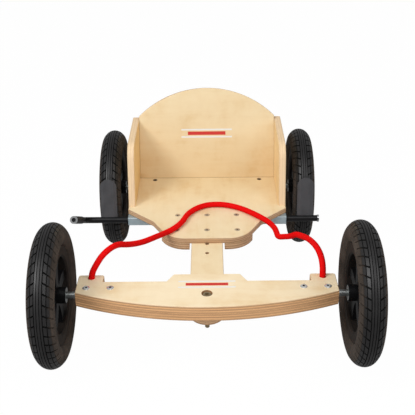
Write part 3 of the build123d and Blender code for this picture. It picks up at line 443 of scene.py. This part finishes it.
metalLooks = {
    "zinc": ("zinc plated steel", (0.66, 0.67, 0.68), 0.30, {"metal": 1.0, "spread": 0.08}),
    # The seat bolt heads' pale bronze colour is painted reflection of the wood round them.
    "headsWoodReflection": ("seat bolt heads", (0.58, 0.47, 0.33), 0.45, {"metal": 0.4}),
    "bronzed": ("bolt heads", (0.34, 0.26, 0.15), 0.40, {"metal": 0.6}),
    "darkSteel": ("dark steel", (0.085, 0.072, 0.060), 0.40, {"metal": 0.7, "spread": 0.07}),
    # The two socket finishes are painted shade of the hexagon hollows.
    "socket": ("hexagon sockets", (0.020, 0.018, 0.016), 0.55, {"metal": 0.5}),
    "paleSocket": ("seat bolt sockets", (0.28, 0.205, 0.135), 0.55, {"metal": 0.3}),
    "brightZinc": ("bright zinc", (0.86, 0.86, 0.84), 0.24, {"metal": 0.75, "bump": 0.04}),
    "brass": ("yellow zinc washers", (0.55, 0.43, 0.25), 0.38, {"metal": 0.8}),
    "spacerZinc": ("dull zinc", (0.38, 0.40, 0.395), 0.36, {"metal": 1.0, "spread": 0.08}),
    "silver": ("silver plugs", (0.72, 0.73, 0.74), 0.16, {"metal": 1.0, "spread": 0.04, "bump": 0.03}),
    "galvanised": (
        "galvanised tube", (0.50, 0.60, 0.64), 0.42,
        {"metal": 0.55, "spread": 0.08, "grain": 160.0, "bump": 0.08, "second": (0.40, 0.50, 0.55)},
    ),
}
darkLooks = {
    "enamel": (
        "black enamel", (0.006, 0.006, 0.007), 0.34,
        {"spread": 0.07, "grain": 500.0, "gloss": 0.28},
    ),
    "shoeEnamel": (
        "shoe enamel", (0.058, 0.058, 0.063), 0.50,
        {"spread": 0.08, "grain": 500.0, "bump": 0.08, "coat": 0.1},
    ),
    "blackPlastic": (
        "moulded plastic", (0.0045, 0.0045, 0.005), 0.46,
        {"spread": 0.08, "grain": 700.0, "bump": 0.10, "gloss": 0.16},
    ),
    "rubber": (
        "grip rubber", (0.010, 0.010, 0.011), 0.55,
        {"spread": 0.08, "grain": 800.0, "bump": 0.25},
    ),
    "lining": ("brake lining", (0.018, 0.017, 0.016), 0.80, {"grain": 600.0, "bump": 0.35}),
    "butyl": (
        "inner tube", (0.030, 0.030, 0.030), 0.58,
        {"spread": 0.08, "grain": 400.0, "bump": 0.15},
    ),
}
finishes = {
    key: roughMaterial(name, colour, roughness, **more)
    for key, (name, colour, roughness, more) in {**metalLooks, **darkLooks}.items()
}


# Tyre rubber: dark tread, darker still down in its cuts as painted shade, and browner walls
rubberSettings = {
    "tread": (0.0085, 0.008, 0.0085),
    "worn": (0.017, 0.016, 0.016),
    # Painted shade: the colour of the rubber down in the cuts
    "cut": (0.001, 0.001, 0.001),
    "wall": (0.034, 0.0255, 0.0195),
    "wallDust": (0.066, 0.049, 0.038),
    "crownCentre": 0.13095,     # circle of the tread's top
    "crownRadius": 0.02705,
    "treadHalf": 0.0205,
    "treadFrom": 0.1455,        # radius where the wall's colour ends
    "cutFrom": 0.0005,          # below the top of the tread
    "roughness": (0.34, 0.52),
    "specular": 0.42,
}


def radiusIn(tree, vector):
    inPlane = addNode(tree, "VectorMath", {0: vector, 1: (0, 1, 1)}, operation="MULTIPLY").outputs[0]
    return addNode(tree, "VectorMath", {0: inPlane}, operation="LENGTH").outputs["Value"]


def tyreMaterial():
    values = rubberSettings
    material, tree, shader = newMaterial("tyre rubber")
    place = addNode(tree, "TexCoord").outputs["Object"]
    axes = axesOf(tree, place)
    cloud = noise(tree, place, 26.0, 5.0)
    speck = noise(tree, place, 900.0, 2.0)
    reach = radiusIn(tree, place)
    across = calc(tree, "MINIMUM", calc(tree, "ABSOLUTE", axes[0]), values["treadHalf"])
    crown = calc(tree, "SUBTRACT", values["crownRadius"] ** 2, calc(tree, "POWER", across, 2.0))
    top = calc(tree, "ADD", calc(tree, "SQRT", crown), values["crownCentre"])
    depth = calc(tree, "SUBTRACT", top, reach)
    inCut = calc(tree, "MULTIPLY", calc(tree, "SUBTRACT", depth, values["cutFrom"]), 900.0, clamp=True)
    onTread = calc(tree, "SUBTRACT", reach, values["treadFrom"])
    onTread = calc(tree, "MULTIPLY", onTread, 400.0, clamp=True)
    tread = ramp(tree, cloud, [(0.35, values["tread"]), (0.75, values["worn"])])
    wall = ramp(tree, cloud, [(0.38, values["wall"]), (0.72, values["wallDust"])])
    # The cuts take the darker colour as painted shade in the grooves.
    colour = mixColour(tree, onTread, wall, mixColour(tree, inCut, tread, values["cut"]))
    tree.links.new(colour, shader.inputs["Base Color"])
    rough = calc(tree, "MAXIMUM", between(tree, speck, *values["roughness"]), inCut)
    tree.links.new(rough, shader.inputs["Roughness"])
    shader.inputs["Specular IOR Level"].default_value = values["specular"]
    addBump(tree, shader, speck, 0.3, surfaceSettings["bumpDepth"])
    return material


finishes["tyre"] = tyreMaterial()


# Rim: black spokes and hub, and a rim that carries the same brown dust as the tyre's walls
rimSettings = {
    "black": (0.0035, 0.0035, 0.004),
    "dusty": (0.031, 0.0225, 0.017),
    "dustFrom": 0.081,
    "dustFull": 0.089,
    "roughness": (0.38, 0.54),
    "dustRoughness": 0.35,
    "specular": 0.14,
}


def rimMaterial(corner):
    values = rimSettings
    material, tree, shader = newMaterial("moulded rim " + corner.replace("_", " "))
    place = addNode(tree, "TexCoord").outputs["Object"]
    hub = tuple(joints[corner + "_wheel_spin"]["pos_m"])
    fromHub = addNode(tree, "VectorMath", {0: place, 1: hub}, operation="SUBTRACT").outputs[0]
    dust = between(tree, radiusIn(tree, fromHub), 0.0, 1.0, values["dustFrom"], values["dustFull"])
    cloud = noise(tree, place, 30.0, 5.0)
    dust = calc(tree, "MULTIPLY", dust, between(tree, cloud, 0.55, 1.0, 0.3, 0.7))
    tree.links.new(mixColour(tree, dust, values["black"], values["dusty"]), shader.inputs["Base Color"])
    speck = noise(tree, place, 700.0, 3.0)
    dustRough = calc(tree, "MULTIPLY", dust, values["dustRoughness"])
    rough = calc(tree, "ADD", between(tree, speck, *values["roughness"]), dustRough)
    tree.links.new(rough, shader.inputs["Roughness"])
    shader.inputs["Specular IOR Level"].default_value = values["specular"]
    addBump(tree, shader, speck, 0.1, surfaceSettings["bumpDepth"])
    return material


corners = ("front_left", "front_right", "rear_left", "rear_right")
for corner in corners:
    finishes[corner + "_rim"] = rimMaterial(corner)


# Rope: red braid with fuzzy fibres
braidSettings = {
    "dark": (0.62, 0.002, 0.003),
    "light": (0.90, 0.004, 0.004),
    "faded": (0.74, 0.003, 0.003),
    "fadedShare": 0.3,
    "roughness": 0.6,
    "specular": 0.06,
}


def ropeMaterial():
    values = braidSettings
    material, tree, shader = newMaterial("red braid")
    place = addNode(tree, "TexCoord").outputs["Object"]
    fibre = noise(tree, place, 1300.0, 3.0)
    cloud = noise(tree, place, 90.0, 3.0)
    colour = ramp(tree, fibre, [(0.30, values["dark"]), (0.70, values["light"])])
    faded = calc(tree, "MULTIPLY", cloud, values["fadedShare"])
    colour = mixColour(tree, faded, colour, values["faded"])
    tree.links.new(colour, shader.inputs["Base Color"])
    shader.inputs["Roughness"].default_value = values["roughness"]
    shader.inputs["Specular IOR Level"].default_value = values["specular"]
    addBump(tree, shader, fibre, 0.3, surfaceSettings["bumpDepth"])
    return material


finishes["rope"] = ropeMaterial()
print("finishes made")

# Steering rope, one soft braided line from under one tab to the other
ropeSettings = {
    "radius": 7.0,
    "around": 32,
    "smoothness": 56,       # points between two of the route's points
    "plaits": 6,
    "lay": 17.0,            # length in which a plait goes once round
    "relief": 0.55,
}
ropeRoute = [
    (-253.5, 38.0, 20.0),
    (-253.5, 38.0, 46.0),
    (-241.3, 44.0, 69.0),
    (-225.9, 62.0, 86.3),
    (-202.1, 98.0, 88.0),
    (-178.1, 138.0, 61.6),
    (-150.4, 172.0, 47.0),
    (-127.0, 204.0, 39.7),
    (-103.8, 252.7, 22.8),
    (-82.2, 274.1, 22.6),
    (-62.4, 305.1, 22.8),
    (-48.2, 354.7, 22.6),
    (-11.4, 393.9, 22.8),
    (36.7, 400.7, 22.6),
    (83.5, 380.0, 22.8),
    (120.0, 345.9, 22.6),
    (151.2, 309.1, 22.8),
    (166.5, 276.4, 22.6),
    (169.7, 251.2, 22.8),
    (171.3, 231.0, 22.6),
    (186.5, 223.0, 28.3),
    (200.0, 209.0, 37.4),
    (210.0, 196.0, 51.4),
    (222.5, 175.0, 57.8),
    (233.6, 146.0, 68.5),
    (244.4, 98.0, 78.9),
    (250.8, 66.0, 74.8),
    (253.3, 48.0, 62.0),
    (253.5, 38.0, 43.0),
    (253.5, 38.0, 20.0),
]


def routeCurve(name, points, smoothness):
    curve = bpy.data.curves.new(name, "CURVE")
    curve.dimensions = "3D"
    spline = curve.splines.new("NURBS")
    spline.points.add(len(points) - 1)
    for point, place in zip(spline.points, points):
        point.co = (*place, 1)
    spline.order_u = 3
    spline.use_endpoint_u = True
    spline.resolution_u = smoothness
    holder = bpy.data.objects.new(name, curve)
    bpy.context.scene.collection.objects.link(holder)
    bpy.context.view_layer.update()
    line = bpy.data.meshes.new_from_object(holder)
    path = [v.co.copy() for v in line.vertices]
    bpy.data.objects.remove(holder)
    bpy.data.meshes.remove(line)
    return path


# Tube along a path: radiusAt gives the radius for an angle and a length along the path
def tubeRings(path, around, radiusAt):
    verts, travelled = [], 0.0
    side = None
    for i, point in enumerate(path):
        tangent = (path[min(i + 1, len(path) - 1)] - path[max(i - 1, 0)]).normalized()
        if side is None:
            side = tangent.orthogonal().normalized()
        else:
            travelled += (point - path[i - 1]).length
            side = (side - tangent * side.dot(tangent)).normalized()
        other = tangent.cross(side)
        for j in range(around):
            angle = 2 * math.pi * j / around
            radius = radiusAt(angle, travelled)
            verts.append(point + (side * math.cos(angle) + other * math.sin(angle)) * radius)
    faces = ringFaces(len(path), around)
    faces.append(tuple(range(around))[::-1])
    faces.append(tuple(range(len(verts) - around, len(verts))))
    return verts, faces


def braidRadius(radius, settings):
    plaits, lay, relief = settings["plaits"], settings["lay"] / 1000, settings["relief"] / 1000

    def radiusAt(angle, travelled):
        turn = 2 * math.pi * travelled / lay
        first = plaits / 2 * (angle + turn)
        second = plaits / 2 * (angle - turn)
        over = math.sin(first) * math.sin(second) > 0
        crest = abs(math.sin(first)) if over else abs(math.cos(second))
        return radius - relief + relief * crest**0.7

    return radiusAt


ropePath = routeCurve("ropeRoute", [onBoard(*p) for p in ropeRoute], ropeSettings["smoothness"])
ropeRadius = ropeSettings["radius"] / 1000
verts, faces = tubeRings(ropePath, ropeSettings["around"], braidRadius(ropeRadius, ropeSettings))
rope = addMesh("steeringRope", verts, faces, 60, finishes["rope"])
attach(rope, "steering")
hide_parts("steering_rope")

# Stopper knots: a few tight wraps round the rope's end under each tab
knotSettings = {
    "core": 6.5,
    "coreSteps": 60,
    "wrap": 4.6,
    "wraps": 2.6,
    "wrapSteps": 110,
    "wrapRadius": 9.9,
    "tucked": 0.35,     # share of the wrap's radius where its ends are tucked in
    "drop": 22.0,
    "tail": 23.0,
    "clear": 0.2,
}


def addKnot(name, x):
    values = knotSettings
    top = onBoard(x, *ropeRoute[0][1:])
    down = -boardUp
    length = values["drop"] + values["tail"]
    core = [top + down * d / 1000 for d in np.linspace(0, length, values["coreSteps"])]
    verts, faces = tubeRings(core, 24, braidRadius(values["core"] / 1000, ropeSettings))
    wrapPath = []
    firstDepth = values["wrap"] + values["clear"]
    for i in range(values["wrapSteps"] + 1):
        part = i / values["wrapSteps"]
        angle = 2 * math.pi * values["wraps"] * part
        tuck = min(1.0, 6 * part, 6 * (1 - part))
        tucked = values["tucked"]
        reach = values["wrapRadius"] * (tucked + (1 - tucked) * math.sin(tuck * math.pi / 2))
        depth = firstDepth + (values["drop"] - 2 * firstDepth) * part
        wrapPath.append(
            top
            + down * depth / 1000
            + Vector((math.cos(angle), 0, 0)) * reach / 1000
            + boardBack * math.sin(angle) * reach / 1000
        )
    wrapVerts, wrapFaces = tubeRings(wrapPath, 20, braidRadius(values["wrap"] / 1000, ropeSettings))
    faces += [tuple(k + len(verts) for k in face) for face in wrapFaces]
    knot = addMesh(name, verts + wrapVerts, faces, 60, finishes["rope"])
    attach(knot, "steering")
    return knot


knots = [addKnot("leftRopeKnot", ropeRoute[-1][0]), addKnot("rightRopeKnot", ropeRoute[0][0])]
for knot in knots:
    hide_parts("rope_knots")

# Tyres: one mesh with ribs, slanted cuts and shoulder lugs, turned round for the wheels on the left
tyreSettings = {
    "radius": 158.0,
    "pitches": 45,
    "slant": 0.62,
    "slantUpTo": (21.0, 148.0, 10.0),       # across the tread, then from this radius inwards as far
    "marks": (      # place in a pitch, and whether it lies in a cut
        (0.0, 0), (0.02, 1), (0.170, 1), (0.19, 0), (0.45, 0), (0.72, 0),
    ),
    "tread": (      # distance from the middle, depth of the groove, depth of the cross cuts
        (2.3, 0.0, 0.0), (2.6, 1.8, 0.0), (3.5, 1.8, 0.0), (3.8, 0.0, 0.0), (7.4, 0.0, 0.0),
        (7.7, 3.0, 0.0), (9.0, 3.0, 0.0), (9.3, 0.0, 3.2), (12.3, 0.0, 3.2), (15.3, 0.0, 3.2),
        (15.6, 1.8, 0.0), (16.6, 1.8, 0.0), (16.9, 0.0, 3.6), (19.6, 0.0, 3.6),
    ),
    "crown": ((-21, 148), (0, 158), (21, 148)),     # points of the section's circles
    "wall": ((21, 148), (28.5, 129), (16, 107.5)),
    "hollow": ((18.0, 144.0), (24.5, 129.0), (12.0, 106.0)),
    "bead": ((16.0, 107.5, 0), (16.0, 101.5, 0), (12.0, 101.5, 0), (12.0, 106.0, 0)),
    "crownInside": (9.0, 149.4, 151.0),     # one point of the hollow's top, and its radius in the middle
    "wallSteps": 22,
    "hollowSteps": 6,
    "shoulderFrom": (19.5, 147.5),
    "shoulderWay": (0.8, 0.6),  # way that the cuts go in there, outwards and along the radius
    "treadSpread": 60,
    "shoulderCut": 3.5,
    "shoulderEnd": 0.24,        # share of the wall that the cuts run down
    "cutFade": 0.35,
    "wallRibs": ((0.10, 0.19, 0.8), (0.27, 0.31, 0.45), (0.36, 0.40, 0.45)),    # from, to, height
}


def circleThrough(a, b, c):
    ax, ay, bx, by, cx, cy = *a, *b, *c
    d = 2 * (ax * (by - cy) + bx * (cy - ay) + cx * (ay - by))
    ux = ((ax**2 + ay**2) * (by - cy) + (bx**2 + by**2) * (cy - ay) + (cx**2 + cy**2) * (ay - by)) / d
    uy = ((ax**2 + ay**2) * (cx - bx) + (bx**2 + by**2) * (ax - cx) + (cx**2 + cy**2) * (bx - ax)) / d
    return ux, uy, math.hypot(ax - ux, ay - uy)


def angleOn(circle, point):
    return math.atan2(point[1] - circle[1], point[0] - circle[0])


# Half of the section from the crown outwards: x, radius, depth of the cross cuts there
def tyreHalfSection(values):
    crown = circleThrough(*values["crown"])
    wall = circleThrough(*values["wall"][::-1])
    rows = []
    for x, sunk, cut in values["tread"]:
        rows.append((x, crown[1] + math.sqrt(crown[2] ** 2 - x * x) - sunk, cut))
    start, end = angleOn(wall, values["wall"][0]), angleOn(wall, values["wall"][2])
    for i in range(values["wallSteps"] + 1):
        part = i / values["wallSteps"]
        angle = start + (end - start) * part
        raised = 0.0
        for low, high, rise in values["wallRibs"]:
            if low <= 1 - part <= high:
                raised = rise
        cut = 0.0
        if part < values["shoulderEnd"]:
            cut = values["shoulderCut"] * (1 - part / values["shoulderEnd"] * values["cutFade"])
        reach = wall[2] + raised
        rows.append((wall[0] + math.cos(angle) * reach, wall[1] + math.sin(angle) * reach, cut))
    rows += values["bead"]
    hollow = circleThrough(*values["hollow"][::-1])
    start, end = angleOn(hollow, values["hollow"][2]), angleOn(hollow, values["hollow"][0])
    for i in range(1, values["hollowSteps"] + 1):
        angle = start + (end - start) * i / values["hollowSteps"]
        rows.append((hollow[0] + math.cos(angle) * hollow[2], hollow[1] + math.sin(angle) * hollow[2], 0))
    rows.append((*values["crownInside"][:2], 0))
    return rows


# The cuts go square to the tread's top, and also inwards on the shoulders
def tyreVerts(values):
    half = tyreHalfSection(values)
    otherHalf = [(-x, radius, cut) for x, radius, cut in reversed(half)]
    section = [(0.0, values["radius"], 0.0)] + half + [(0.0, values["crownInside"][2], 0.0)] + otherHalf
    treadHalf, shoulderRadius, inwards = values["slantUpTo"]
    verts = []
    for x, radius, cut in section:
        outwards = min(abs(x), treadHalf) + min(max(shoulderRadius - radius, 0.0), inwards)
        shift = values["slant"] * outwards / values["radius"]
        if radius < values["shoulderFrom"][1] or abs(x) > values["shoulderFrom"][0]:
            nx, nr = math.copysign(values["shoulderWay"][0], x), values["shoulderWay"][1]
        else:
            nx, nr = x / values["treadSpread"], 1.0
        for pitch in range(values["pitches"]):
            for part, low in values["marks"]:
                angle = 2 * math.pi * (pitch + part) / values["pitches"] + shift
                depth = cut if low else 0.0
                r = radius - depth * nr
                verts.append(Vector((x - depth * nx, r * math.cos(angle), r * math.sin(angle))) / 1000)
    return verts, len(section), values["pitches"] * len(values["marks"])


verts, sectionRows, sectionColumns = tyreVerts(tyreSettings)
tyreData = None
for corner in corners:
    centre = Vector(joints[corner + "_wheel_spin"]["pos_m"])
    if tyreData is None:
        faces = ringFaces(sectionRows, sectionColumns, True)
        tyre = addMesh(corner + "_tyreTread", verts, faces, 32, finishes["tyre"])
        tyreData = tyre.data
    else:
        tyre = bpy.data.objects.new(corner + "_tyreTread", tyreData)
        bpy.context.scene.collection.objects.link(tyre)
    tyre.location = centre
    tyre.rotation_euler.z = math.pi if "left" in corner else 0.0
    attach(tyre, corner + "_wheel")
    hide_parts(corner + "_tyre")
print("tyres made")

# Socket bolts: one turned head with a hexagon socket for each solid of the CAD node it stands for
boltSettings = {
    "beam_bolts": {
        "body": "steering", "head": 8.0, "rise": 2.0, "dome": 1.5, "shank": 3.0, "top": 38.0,
        "finish": "brightZinc", "inside": "socket",
    },
    "seat_bolts": {
        "body": "chassis", "head": 6.7, "rise": 2.0, "dome": 0.5, "shank": 4.0, "top": 13.0,
        "finish": "headsWoodReflection", "inside": "paleSocket",
    },
    "rear_axle_bolts": {
        "body": "chassis", "head": 6.0, "rise": 2.0, "dome": 0.4, "shank": 3.0, "top": 13.0,
        "finish": "darkSteel", "inside": "socket",
    },
}
socketSettings = {"across": 5.0, "depth": 2.8, "chamfer": 0.15, "lip": 0.35, "around": 48, "apart": 20.0}


# Where the solids of a node stand on the boards, and how deep they go below their heads
def boltSpots(node, top):
    spots = []
    for vertex in node.data.vertices:
        place = vertex.co - boardOrigin
        x, s, n = (1000 * c for c in (place.x, place.dot(boardBack), place.dot(boardUp)))
        apart = socketSettings["apart"]
        near = next((spot for spot in spots if math.hypot(spot[0] - x, spot[1] - s) < apart), None)
        if near is None:
            near = [x, s, x, s, x, s, n]
            spots.append(near)
        near[2:] = [min(near[2], x), min(near[3], s), max(near[4], x), max(near[5], s), min(near[6], n)]
    return [((spot[2] + spot[4]) / 2, (spot[3] + spot[5]) / 2, top - spot[6]) for spot in spots]


def addBolts(node, values):
    head, rise, dome, shank = values["head"], values["rise"], values["dome"], values["shank"]
    around, depth, chamfer = (socketSettings[key] for key in ("around", "depth", "chamfer"))
    verts, faces, dark = [], [], []
    for x, s, length in boltSpots(nodes[node], values["top"]):
        profile = [
            ("socket", rise - depth), ("socket", rise - chamfer), ("lip", rise),
            (0.62 * head, rise - 0.12 * dome), (0.86 * head, rise - 0.55 * dome), (head, rise - dome),
            (head, 0.0), (shank, 0.0), (shank, -length),
        ]
        first = len(verts)
        for radius, n in profile:
            for j in range(around):
                angle = 2 * math.pi * j / around
                fromFlat = (angle + math.pi / 6) % (math.pi / 3) - math.pi / 6
                hexagon = socketSettings["across"] / 2 / math.cos(fromFlat)
                r = {"socket": hexagon, "lip": hexagon + socketSettings["lip"]}.get(radius, radius)
                spot = (x + r * math.cos(angle), s + r * math.sin(angle), values["top"] + n)
                verts.append(onBoard(*spot))
        rings = ringFaces(len(profile), around)
        # The socket's walls and floor take the darker inside finish: painted shade of the hollow.
        dark += list(range(len(faces), len(faces) + around))
        faces += [tuple(first + k for k in face) for face in rings]
        dark.append(len(faces))
        faces.append(tuple(range(first, first + around)))
        faces.append(tuple(range(len(verts) - around, len(verts))))
    bolts = addMesh(node + "_turned", verts, faces, 35, finishes[values["finish"]])
    bolts.data.materials.append(finishes[values["inside"]])
    for index in dark:
        bolts.data.polygons[index].material_index = 1
    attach(bolts, values["body"])
    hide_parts(node)


for node, values in boltSettings.items():
    addBolts(node, values)
print("bolts made")

# Materials of the CAD nodes that stay
finishOf = {
    "bronzed": ["seat_bolts", "pivot_bolt"],
    "darkSteel": ["rear_axle_bolts"],
    "brass": ["pivot_washers"],
    "zinc": [
        "beam_bolts", "beam_bolt_nuts", "seat_bolt_nuts", "rear_axle_bolt_nuts", "panel_foot_screws",
        "panel_side_screws", "backrest_foot_screws", "bracket_screws", "housing_brackets", "pivot_nut",
        "front_axle", "rear_axle", "front_axle_washers", "rear_axle_washers", "front_axle_nuts",
        "rear_axle_nuts", "brake_stop_pin",
    ],
    "spacerZinc": ["front_wheel_spacers", "rear_wheel_spacers", *[c + "_bearings" for c in corners]],
    "blackPlastic": ["brake_bushes"],
    **{c + "_rim": [c + "_rim"] for c in corners},
    "galvanised": ["brake_housing"],
    "enamel": ["brake_shaft"],
    "shoeEnamel": ["left_brake_shoe", "right_brake_shoe"],
    "rubber": ["brake_grip"],
    "lining": ["brake_linings"],
    "silver": ["brake_end_plugs"],
    "butyl": [c + "_inner_tube" for c in corners],
    "tyre": [c + "_tyre" for c in corners],
    "rope": ["steering_rope", "rope_knots"],
}
materialOf = {name: finishes[finish] for finish, names in finishOf.items() for name in names}
materialOf.update(woodOf)
for name, node in nodes.items():
    node.data.materials.clear()
    node.data.materials.append(materialOf[name])
    tidyMesh(node.data, 30)

# The dish in the end of the lever's plug is painted black as the shade of its hollow; rise is the lever's
# angle
plugSettings = {"rise": 27.3, "dish": 0.0052, "flat": 0.00005}


def blackenDish(mesh, ahead, values):
    verts = [v.co for v in mesh.vertices if v.co.x < 0]
    end = max(v.dot(ahead) for v in verts)
    face = {tuple(round(c, 5) for c in v) for v in verts if v.dot(ahead) > end - values["flat"]}
    middle = sum((Vector(v) for v in face), Vector()) / len(face)
    mesh.materials.append(finishes["enamel"])
    for polygon in mesh.polygons:
        places = [mesh.vertices[k].co - middle for k in polygon.vertices]
        reach = max((place - ahead * place.dot(ahead)).length for place in places)
        sunk = max(-place.dot(ahead) for place in places)
        if reach < values["dish"] and values["flat"] < sunk < values["dish"]:
            polygon.material_index = 1


plugRise = math.radians(plugSettings["rise"])
leverWay = Vector((0, -math.cos(plugRise), math.sin(plugRise)))
blackenDish(nodes["brake_end_plugs"].data, leverWay, plugSettings)
print("CAD nodes dressed")

# Stage: pale floor and a plain white surround
stageSettings = {
    "floor": (0.90, 0.89, 0.88),
    "roughness": 0.9,
    "specular": 0.1,
    "below": 0.0005,
    "whiteness": 0.985,     # share of pure white in the floor as the camera sees it
    "half": 14.0,
    "ambient": 0.40,
    "shine": 0.40,          # of the surround and of the floor, as glossy surfaces mirror them
    "floorShine": 0.30,
}


def addStage(values):
    size = values["half"]
    corners = [(-size, -size, 0), (size, -size, 0), (size, size, 0), (-size, size, 0)]
    floor = addMesh("floor", corners, [(0, 1, 2, 3)])
    material, tree, shader = newMaterial("pale floor")
    shader.inputs["Base Color"].default_value = (*values["floor"], 1)
    shader.inputs["Roughness"].default_value = values["roughness"]
    shader.inputs["Specular IOR Level"].default_value = values["specular"]
    rays = addNode(tree, "LightPath")
    seen = calc(tree, "MAXIMUM", rays.outputs["Is Camera Ray"], rays.outputs["Is Glossy Ray"])
    seen = calc(tree, "MAXIMUM", seen, rays.outputs["Is Transmission Ray"])
    glossy = calc(tree, "MULTIPLY", rays.outputs["Is Glossy Ray"], 1.0 - values["floorShine"])
    strength = calc(tree, "SUBTRACT", 1.0, glossy)
    glow = addNode(tree, "Emission", {"Color": (1, 1, 1, 1), "Strength": strength})
    mix = addNode(tree, "MixShader", {0: calc(tree, "MULTIPLY", seen, values["whiteness"])})
    tree.links.new(shader.outputs[0], mix.inputs[1])
    tree.links.new(glow.outputs[0], mix.inputs[2])
    tree.links.new(mix.outputs[0], tree.nodes["Material Output"].inputs["Surface"])
    floor.data.materials.append(material)
    floor.location.z = -values["below"]

    world = bpy.data.worlds.new("surround")
    bpy.context.scene.world = world
    world.use_nodes = True
    tree = world.node_tree
    rays = addNode(tree, "LightPath")
    seen = calc(tree, "MAXIMUM", rays.outputs["Is Camera Ray"], rays.outputs["Is Transmission Ray"])
    strength = between(tree, seen, values["ambient"], 1.0)
    glossy = calc(tree, "MULTIPLY", rays.outputs["Is Glossy Ray"], values["ambient"] - values["shine"])
    tree.links.new(calc(tree, "SUBTRACT", strength, glossy), tree.nodes["Background"].inputs["Strength"])
    tree.nodes["Background"].inputs["Color"].default_value = (1, 1, 1, 1)


lampSettings = {
    "key": {"place": (-1.9, -1.5, 2.3), "size": 1.4, "power": 52.0},
    "fill": {"place": (1.9, -1.4, 1.9), "size": 1.8, "power": 18.0},
    "top": {"place": (0.0, -1.3, 2.4), "size": 1.8, "power": 16.0},
}


def addLamp(name, values):
    lamp = bpy.data.lights.new(name, "AREA")
    lamp.shape = "DISK"
    lamp.size = values["size"]
    lamp.energy = values["power"]
    holder = bpy.data.objects.new(name, lamp)
    bpy.context.scene.collection.objects.link(holder)
    holder.location = values["place"]
    aim = Vector((0, 0, 0.15)) - Vector(values["place"])
    holder.rotation_euler = aim.to_track_quat("-Z", "Y").to_euler()


addStage(stageSettings)
for name, values in lampSettings.items():
    addLamp(name, values)
print("stage and lamps set")
